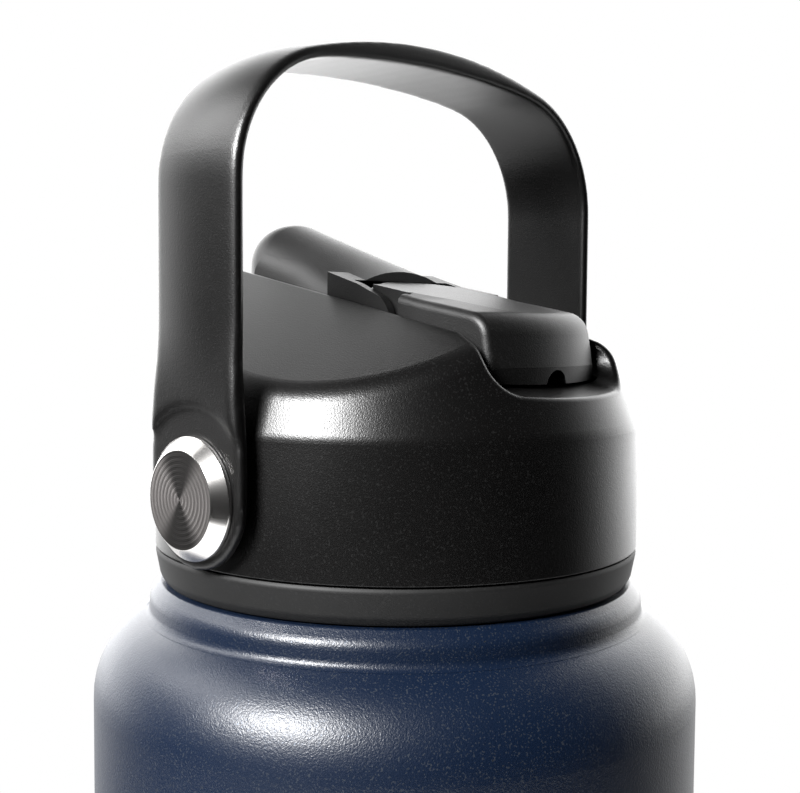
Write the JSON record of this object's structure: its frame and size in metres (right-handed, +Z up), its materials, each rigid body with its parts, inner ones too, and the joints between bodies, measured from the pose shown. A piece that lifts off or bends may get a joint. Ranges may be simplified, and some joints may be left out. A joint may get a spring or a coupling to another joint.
{
  "type": "insulated water jug with straw lid",
  "caption": "Vacuum-insulated steel water jug with a screw-on straw lid, a flip-up drinking spout and a swing carry handle on turned metal pivots.",
  "frame": {"origin": "centre of the base, on the surface the jug stands on", "axes": "+Z up along the jug's axis; X is the handle's pivot axis; -Y is the front, where the spout channel's fixed block is; the folded spout points to +Y"},
  "size_m": [0.11, 0.11, 0.341],
  "materials": {
    "navy_powder_coat": "fine orange-peel powder coat, satin navy",
    "bare_steel": "brushed stainless steel, bare inside",
    "solder_glass": "grey-green solder glass bead",
    "lid_plastic": "black, fine spark-eroded texture",
    "ring_plastic": "black, smoother satin",
    "spout_plastic": "black, soft satin",
    "black_silicone": "matte black silicone",
    "clear_silicone": "milky silicone",
    "plug_foam": "rigid insulating foam",
    "plug_plastic": "black polypropylene",
    "straw_plastic": "translucent polypropylene",
    "handle_plastic": "black, fine moulded texture",
    "turned_steel": "concentric turned face, polished bevel",
    "screw_steel": "plain stainless steel",
    "brass": "knurled brass",
    "bush_plastic": "natural acetal"
  },
  "bodies": {
    "bottle": {"outer_shell": "navy_powder_coat", "base_cup": "navy_powder_coat", "base_disc": "bare_steel", "evacuation_seal": "solder_glass", "inner_liner": "bare_steel", "liner_base": "bare_steel"},
    "seal": {"lid_gasket": "black_silicone"},
    "lid": {"lid_body": "lid_plastic", "threaded_base": "ring_plastic", "plug_foam": "plug_foam", "plug_floor": "plug_plastic", "front_block": "spout_plastic", "port_seal": "clear_silicone", "block_screws": "screw_steel", "spout_pin": "screw_steel", "spigot_oring": "black_silicone", "straw_grommet": "clear_silicone", "straw": "straw_plastic", "vent_valve": "clear_silicone", "right_pivot_screw": "screw_steel", "left_pivot_screw": "screw_steel", "right_pivot_bush": "bush_plastic", "left_pivot_bush": "bush_plastic", "right_friction_washer": "black_silicone", "left_friction_washer": "black_silicone", "right_threaded_insert": "brass", "left_threaded_insert": "brass"},
    "spout": {"flip_spout": "spout_plastic"},
    "handle": {"handle": "handle_plastic", "right_pivot_button": "turned_steel", "left_pivot_button": "turned_steel"}
  },
  "joints": [
    {"name": "lid_lift", "type": "slide", "parent": "bottle", "child": "seal", "axis": [0, 0, 1], "range_m": [0, 0.245]},
    {"name": "lid_turn", "type": "hinge", "parent": "seal", "child": "lid", "pos_m": [0, 0, 0.252], "axis": [0, 0, 1], "range_deg": [0, 540]},
    {"name": "spout_flip", "type": "hinge", "parent": "lid", "child": "spout", "pos_m": [0, -0.0055, 0.2915], "axis": [1, 0, 0], "range_deg": [0, 70]},
    {"name": "handle_swing", "type": "hinge", "parent": "lid", "child": "handle", "pos_m": [0, 0, 0.264], "axis": [1, 0, 0], "range_deg": [-118, 118]}
  ]
}
